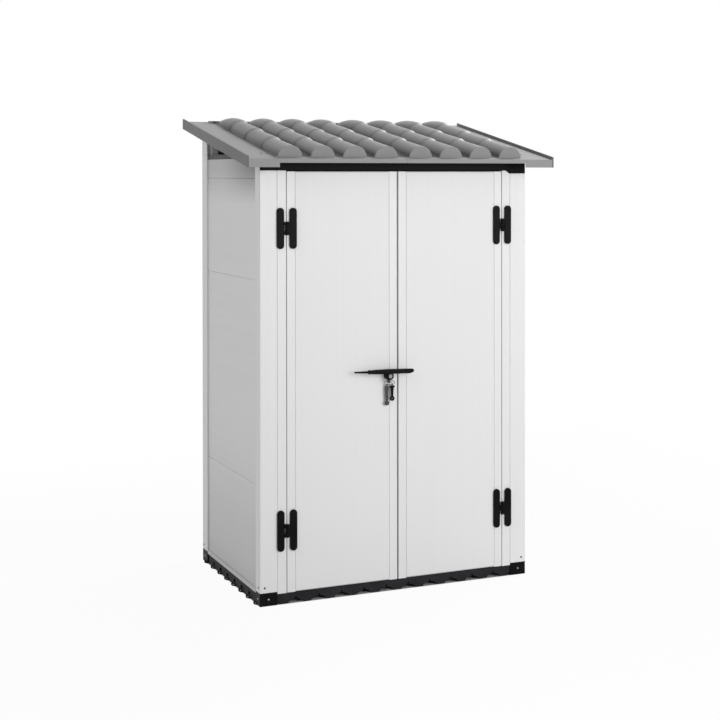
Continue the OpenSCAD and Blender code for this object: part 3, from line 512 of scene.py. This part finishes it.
def rowStations():
    # where the section changes along the row, its radius there, 0 where the sheet is flat,
    # and how far its middle has sunk
    wide, narrow, sink = rows["wide"], rows["narrow"], rows["sink"]
    step = rowRun / rows["tiles"]
    stations = [(along, 0.0, sink) for along in (0.0, rowStart * 0.5, rowStart)]
    stations += [(rowStart + along, wide + more, sink) for along, more in rows["frontEdge"]]
    for tile in range(rows["tiles"]):
        start = rowStart + tile * step
        last = tile == rows["tiles"] - 1
        if tile:
            stations += [(start + along, narrow + more, sink) for along, more in rows["tileEnd"]]
            stations += [(start + along, wide + more, sink) for along, more in rows["tileStart"]]
        end, drop = (rows["tailRadius"], rows["tailDrop"]) if last else (narrow, 0.0)
        for part in rows["tileParts"]:
            stations.append((start + part * step, wide + (end - wide) * part,
                             sink + drop * part ** rows["tailBend"]))
    finish = rowStart + rowRun
    stations += [(finish + along, end + more, sink + drop) for along, more in rows["backEdge"]]
    return stations + [(finish, 0.0, sink), (roofRun, 0.0, sink)]


def addGrid(build, lines):
    grid = [[build.verts.new(point) for point in line] for line in lines]
    for near, far in zip(grid, grid[1:]):
        for i in range(len(near) - 1):
            build.faces.new((near[i], near[i + 1], far[i + 1], far[i]))


def rowStrip():
    half = rows["pitch"] / 2
    build = bmesh.new()
    lines = []
    for along, radius, drop in rowStations():
        section = rowSection(radius or rows["wide"], drop, half)
        lines.append([onRoof(x, along, h if radius else 0.0) for x, h in section])
    addGrid(build, lines)
    bmesh.ops.remove_doubles(build, verts=build.verts, dist=limits["sameJoint"])
    return build


def giveInputs(modifier, values):
    for item in modifier.node_group.interface.items_tree:
        if item.item_type == "SOCKET" and item.in_out == "INPUT" and item.name in values:
            modifier[item.identifier] = values[item.name]


def repeatTree(name, sockets):
    tree = bpy.data.node_groups.new(name, "GeometryNodeTree")
    for label, kind in sockets:
        tree.interface.new_socket(label, in_out="INPUT", socket_type="NodeSocket" + kind)
    tree.interface.new_socket("Geometry", in_out="OUTPUT", socket_type="NodeSocketGeometry")
    nodes = Nodes(tree)
    return tree, nodes, nodes.add("NodeGroupInput")


def endTree(nodes, instances, finish):
    real = nodes.add("GeometryNodeRealizeInstances", {}, {"Geometry": instances})
    merged = nodes.add("GeometryNodeMergeByDistance", {},
                       {"Geometry": real, "Distance": limits["sameCopy"]})
    painted = nodes.add("GeometryNodeSetMaterial", {}, {"Geometry": merged, "Material": finish})
    nodes.add("NodeGroupOutput", {}, {"Geometry": painted})


tileRows, nodes, given = repeatTree("tileRows", [
    ("Row", "Geometry"), ("Rows", "Int"), ("Pitch", "Float"), ("First row", "Float"),
    ("Finish", "Material")])
start = nodes.add("ShaderNodeCombineXYZ", {}, {"X": given.output("First row")})
offset = nodes.add("ShaderNodeCombineXYZ", {}, {"X": given.output("Pitch")})
line = nodes.add("GeometryNodeMeshLine", {"mode": "OFFSET"},
                 {"Count": given.output("Rows"), "Start Location": start, "Offset": offset})
copies = nodes.add("GeometryNodeInstanceOnPoints", {},
                   {"Points": line, "Instance": given.output("Row")})
endTree(nodes, copies, given.output("Finish"))


def slopedBar(x0, x1, y0, y1, low, high, look):
    build = bmesh.new()
    corners = []
    for y in (y0, y1):
        top = roof["height"] + (y - roof["front"]) * math.tan(slope)
        corners += [(x, y, top + z) for x, z in ((x0, low), (x1, low), (x1, high), (x0, high))]
    points = [build.verts.new(corner) for corner in corners]
    ends = ((0, 1, 2, 3), (7, 6, 5, 4))
    sides = ((0, 4, 5, 1), (1, 5, 6, 2), (2, 6, 7, 3), (3, 7, 4, 0))
    for face in ends + sides:
        build.faces.new([points[i] for i in face])
    bmesh.ops.recalc_face_normals(build, faces=build.faces)
    roundEdges(build, look)
    return build


def frontRim(side):
    # deep at the corner and shallow over the doors; the front of the side lip belongs to it
    outer, inner, corner = roof["half"], roof["seam"], roof["half"] - roof["corner"]
    deep, shallow = -roof["rimDrop"], -roof["shallowDrop"]
    lip, high, thick = roof["half"] - roof["lipWidth"], roof["lipHeight"], roof["rimThick"]
    outline = [(outer, high), (outer, deep), (corner, deep), (corner, shallow), (inner, shallow),
               (inner, 0.0), (lip, 0.0), (lip, high)]
    build = bmesh.new()
    near = [build.verts.new((side * x, roof["front"], roof["height"] + z)) for x, z in outline]
    build.faces.new(near)
    for item in bmesh.ops.extrude_face_region(build, geom=build.faces[:])["geom"]:
        if isinstance(item, bmesh.types.BMVert):
            item.co += Vector((0.0, thick, thick * math.tan(slope)))
    bmesh.ops.recalc_face_normals(build, faces=build.faces)
    roundEdges(build, roof["rims"])
    return build


def joined(name, builds):
    whole = bmesh.new()
    for build in builds:
        part = bpy.data.meshes.new("part")
        build.to_mesh(part)
        build.free()
        whole.from_mesh(part)
        bpy.data.meshes.remove(part)
    return pieceFrom(name, whole)


def takenFrom(piece):
    build = bmesh.new()
    build.from_mesh(piece.data)
    bpy.data.objects.remove(piece)
    return build


def roofHalf(node, side):
    def placed(x0, x1):
        return (x0, x1) if side > 0 else (-x1, -x0)

    # the rows of tiles, then the flat sheet on both sides of them, then the wall of both
    strip = pieceFrom("tileRow", rowStrip())
    repeat = strip.modifiers.new("tileRows", "NODES")
    repeat.node_group = tileRows
    giveInputs(repeat, {"Rows": rows["count"], "Pitch": side * rows["pitch"],
                        "First row": side * rows["first"], "Finish": finishes["roof_grey"]})
    build = takenFrom(bakeModifiers(strip))
    edge = rows["first"] + (rows["count"] - 0.5) * rows["pitch"]
    inner = rows["first"] - 0.5 * rows["pitch"]
    for x0, x1 in ((edge, roof["half"] - roof["sheetIn"]), (roof["seam"], inner)):
        addGrid(build, [[onRoof(x, along, 0.0) for x in placed(x0, x1)]
                        for along, radius, drop in rowStations()])
    bmesh.ops.remove_doubles(build, verts=build.verts, dist=limits["sameJoint"])
    sheet = pieceFrom("roofSheet", build)
    wall = sheet.modifiers.new("wall", "SOLIDIFY")
    wall.thickness = roof["sheet"]
    wall.offset = -1.0
    builds = [takenFrom(bakeModifiers(sheet)), frontRim(side)]

    # side lip, back rim and back lip
    outer, inside, thick, seam = roof["half"], roof["inside"], roof["rimThick"], roof["seam"]
    back, drop, backLip = roof["back"], roof["rimDrop"], roof["back"] - roof["backLipDeep"]
    bars = [
        (outer - roof["lipWidth"], outer - inside, roof["front"] + thick / 2, back, inside - drop,
         roof["lipHeight"] - inside),
        (seam, outer - 3 * inside, back - thick, back, -drop, -inside),
        (seam, outer - roof["backLipIn"], backLip - thick, backLip, -thick, roof["backLip"]),
    ]
    for x0, x1, y0, y1, low, high in bars:
        builds.append(slopedBar(*placed(x0, x1), y0, y1, low, high, roof["bars"]))
    return settle(evenShading(joined(node + "_soft", builds)), node)


roofHalf("roof_left", -1)
roofHalf("roof_right", 1)
print("roof ready")


screws = {"head": 0.0045, "rise": 0.0018, "arm": 0.0026, "slot": 0.0006, "recess": 0.0012,
          "around": 48, "rings": 9, "crowding": 0.8, "dome": 4}


def screwHead():
    # domed head with a cross recess, facing +Z
    build = bmesh.new()
    around, rings = screws["around"], screws["rings"]
    lines = []
    for ring in range(rings + 1):
        part = ring / rings
        line = []
        for i in range(around):
            turn = 2 * math.pi * i / around
            radius = screws["head"] * part ** screws["crowding"]
            x, y = radius * math.cos(turn), radius * math.sin(turn)
            z = screws["rise"] * math.sqrt(max(0.0, 1 - part ** screws["dome"]))
            arm = min(abs(x), abs(y)) < screws["slot"] and max(abs(x), abs(y)) < screws["arm"]
            line.append((x, y, z - (screws["recess"] if arm else 0.0)))
        lines.append(line)
    centre = build.verts.new((0.0, 0.0, lines[0][0][2]))
    loops = [[build.verts.new(point) for point in line] for line in lines[1:]]
    for i in range(around):
        j = (i + 1) % around
        build.faces.new((centre, loops[0][i], loops[0][j]))
        for near, far in zip(loops, loops[1:]):
            build.faces.new((near[i], far[i], far[j], near[j]))
    build.faces.new(list(reversed(loops[-1])))
    bmesh.ops.recalc_face_normals(build, faces=build.faces)
    return pieceFrom("screwHead", build)


screwField, nodes, given = repeatTree("screwField", [
    ("Places", "Geometry"), ("Head", "Object"), ("Size", "Float"), ("Finish", "Material")])
head = nodes.add("GeometryNodeObjectInfo", {"transform_space": "ORIGINAL"},
                 {"Object": given.output("Head")}, "Geometry")
facing = nodes.add("GeometryNodeInputNamedAttribute", {"data_type": "FLOAT_VECTOR"},
                   {"Name": "facing"})
turned = nodes.add("FunctionNodeAlignRotationToVector", {"axis": "Z"}, {"Vector": facing})
heads = nodes.add("GeometryNodeInstanceOnPoints", {},
                  {"Points": given.output("Places"), "Instance": head, "Rotation": turned,
                   "Scale": given.output("Size")})
endTree(nodes, heads, given.output("Finish"))


def placeScrews(node, head, size, places):
    points = bpy.data.meshes.new(node + "_soft")
    points.from_pydata([place for place, facing in places], [], [])
    attribute = points.attributes.new("facing", "FLOAT_VECTOR", "POINT")
    for i, (place, facing) in enumerate(places):
        attribute.data[i].vector = facing
    piece = bpy.data.objects.new(node + "_soft", points)
    scene.collection.objects.link(piece)
    field = piece.modifiers.new("screwField", "NODES")
    field.node_group = screwField
    giveInputs(field, {"Head": head, "Size": size, "Finish": finishes[slotOf[node]]})
    bakeModifiers(piece)
    return settle(piece, node)


corner = {
    "halfWidth": 0.59, "front": -0.355, "back": 0.435, "longSide": 0.072, "shortSide": 0.052,
    "blockHeight": 0.026, "postHeight": 0.072, "postIn": 0.02, "roofIn": (0.012, 0.036),
    "roofFront": 0.014, "roofBack": 0.022, "blockScrew": 0.85, "postScrew": 0.89, "roofScrew": 1.0,
}

head = screwHead()
blockPlaces, postPlaces, roofPlaces = [], [], []
forwards, rearwards = Vector((0, -1, 0)), Vector((0, 1, 0))
offRoof = onRoof(0, 0, 1) - onRoof(0, 0, 0)
halfLong, halfShort, low = corner["longSide"] / 2, corner["shortSide"] / 2, corner["blockHeight"]
front, back, near, high = corner["front"], corner["back"], corner["postIn"], corner["postHeight"]
for side in (-1, 1):
    x, out = side * corner["halfWidth"], Vector((side, 0, 0))
    blockPlaces += [((x - side * halfLong, front, low), forwards),
                    ((x, front + halfShort, low), out),
                    ((x - side * halfShort, back, low), rearwards),
                    ((x, back - halfLong, low), out)]
    postPlaces += [((x - side * near, front, high), forwards), ((x, front + near, high), out),
                   ((x - side * near, back, high), rearwards), ((x, back - near, high), out)]
    for inwards in corner["roofIn"]:
        for y in (front + corner["roofFront"], back - corner["roofBack"]):
            along = (y - roof["front"]) / math.cos(slope)
            roofPlaces.append((onRoof(x - side * inwards, along, 0.0), offRoof))
placeScrews("base_screws", head, corner["blockScrew"], blockPlaces)
placeScrews("post_screws", head, corner["postScrew"], postPlaces)
placeScrews("roof_screws", head, corner["roofScrew"], roofPlaces)
bpy.data.objects.remove(head)
print("screws ready")


latch = {
    "place": (-0.0465, -0.355, 0.8775), "hub": 0.016, "hubBack": 0.0043, "hubFront": 0.033,
    "barUp": 0.019, "barLeft": 0.093, "barRight": 0.102, "barHeight": 0.02, "barDepth": 0.018,
    "barOff": 0.024, "barRound": 0.0042, "barSteps": 5, "collar": 0.0084, "gripLength": 0.062,
    "grip": 0.0048, "gripEnd": 0.0034, "endSteps": 6, "tilt": 1.6, "around": 48,
}


def lathe(start, direction, across, profile):
    # turned shape: pairs of distance along the direction and radius, closed where the radius is 0
    direction, across = Vector(direction), Vector(across)
    third = direction.cross(across)
    around = latch["around"]
    turns = [2 * math.pi * i / around for i in range(around)]
    build = bmesh.new()
    rings = []
    for along, radius in profile:
        middle = Vector(start) + direction * along
        if radius == 0.0:
            rings.append([build.verts.new(middle)])
        else:
            spokes = [across * math.cos(t) + third * math.sin(t) for t in turns]
            rings.append([build.verts.new(middle + spoke * radius) for spoke in spokes])
    for near, far in zip(rings, rings[1:]):
        for i in range(around):
            j = (i + 1) % around
            loop = [near[i % len(near)], near[j % len(near)], far[j % len(far)], far[i % len(far)]]
            build.faces.new(list(dict.fromkeys(loop)))
    bmesh.ops.recalc_face_normals(build, faces=build.faces)
    return build


def tilted(build):
    turn = Matrix.Rotation(math.radians(latch["tilt"]), 3, "Y")
    bmesh.ops.rotate(build, cent=latch["place"], matrix=turn, verts=build.verts)
    return build


def leverBar():
    x, y, z = latch["place"]
    high, left, right = latch["barHeight"] / 2, latch["barLeft"], latch["barRight"]
    front, up = y - latch["barOff"] - latch["barDepth"], z + latch["barUp"]
    outline = [(-left, -high * 0.7), (-left, high * 0.6), (-left * 0.75, high * 0.85),
               (-left * 0.2, high), (right - 0.006, high), (right - 0.001, high * 0.7),
               (right, high * 0.2), (right - 0.005, -high * 0.45), (right - 0.02, -high * 0.85),
               (right * 0.4, -high * 0.8), (-left * 0.2, -high * 0.9), (-left * 0.75, -high * 0.85)]
    build = bmesh.new()
    build.faces.new([build.verts.new((x + u, front, up + v)) for u, v in outline])
    for item in bmesh.ops.extrude_face_region(build, geom=build.faces[:])["geom"]:
        if isinstance(item, bmesh.types.BMVert):
            item.co.y += latch["barDepth"]
    bmesh.ops.recalc_face_normals(build, faces=build.faces)
    rims = [edge for edge in build.edges
            if abs(edge.verts[0].co.y - edge.verts[1].co.y) < limits["sameCopy"]]
    bmesh.ops.bevel(build, geom=rims, offset=latch["barRound"], offset_type="OFFSET",
                    segments=latch["barSteps"], profile=0.5, affect="EDGES", clamp_overlap=True)
    return tilted(build)


def latchLever():
    x, y, z = latch["place"]
    hub, back, front = latch["hub"], latch["hubBack"], latch["hubFront"]
    hubProfile = [(back, 0.0), (back, hub - 0.001), (back + 0.001, hub), (front - 0.003, hub),
                  (front - 0.0008, hub - 0.0008), (front, hub - 0.003), (front + 0.0003, 0.0092),
                  (front - 0.0002, 0.0)]
    collar, grip, end = latch["collar"], latch["grip"], latch["gripEnd"]
    length, steps = latch["gripLength"], latch["endSteps"]
    gripProfile = [(-0.002, 0.0), (-0.002, collar), (0.0008, collar), (0.0014, collar + 0.0001),
                   (0.0026, collar), (0.0036, collar - 0.0006), (0.004, collar - 0.0016),
                   (0.0044, grip + 0.0006), (0.0075, grip), (length * 0.5, (grip + end) / 2),
                   (length, end)]
    for i in range(1, steps + 1):
        turn = math.pi / 2 * i / steps
        radius = end * math.cos(turn) if i < steps else 0.0
        gripProfile.append((length + end * math.sin(turn), radius))
    barMiddle = (x - latch["barLeft"], y - latch["barOff"] - latch["barDepth"] / 2,
                 z + latch["barUp"])
    builds = [leverBar(), lathe((x, y, z), (0, -1, 0), (1, 0, 0), hubProfile),
              tilted(lathe(barMiddle, (-1, 0, 0), (0, 0, 1), gripProfile))]
    return settle(evenShading(joined("latch_lever_soft", builds)), "latch_lever")


ring = {"place": (-0.042, -0.367, 0.8557), "width": 0.044, "height": 0.014, "wire": 0.0013,
        "around": 16, "bendSteps": 16}


def keyLoop():
    # a round wire along two half circles and the straights between them
    x, y, z = ring["place"]
    radius, steps, around = ring["height"] / 2, ring["bendSteps"], ring["around"]
    span, sideways = ring["width"] / 2 - radius, Vector((0, 1, 0))
    path = []
    for side in (1, -1):
        for i in range(steps + 1):
            turn = math.pi / 2 - math.pi * i / steps
            path.append(Vector((x + side * (span + radius * math.cos(turn)), y,
                                z - radius + side * radius * math.sin(turn))))
    build = bmesh.new()
    rings = []
    for i, point in enumerate(path):
        along = (path[(i + 1) % len(path)] - path[i - 1]).normalized()
        across = along.cross(sideways)
        turns = [2 * math.pi * k / around for k in range(around)]
        spokes = [across * math.cos(t) + sideways * math.sin(t) for t in turns]
        rings.append([build.verts.new(point + spoke * ring["wire"]) for spoke in spokes])
    for i, near in enumerate(rings):
        far = rings[(i + 1) % len(rings)]
        for k in range(around):
            m = (k + 1) % around
            build.faces.new((near[k], near[m], far[m], far[k]))
    bmesh.ops.recalc_face_normals(build, faces=build.faces)
    return settle(pieceFrom("key_ring_soft", build), "key_ring")


latchLever()
keyLoop()
print("latch and key loop ready")


scene.view_settings.view_transform = "Standard"
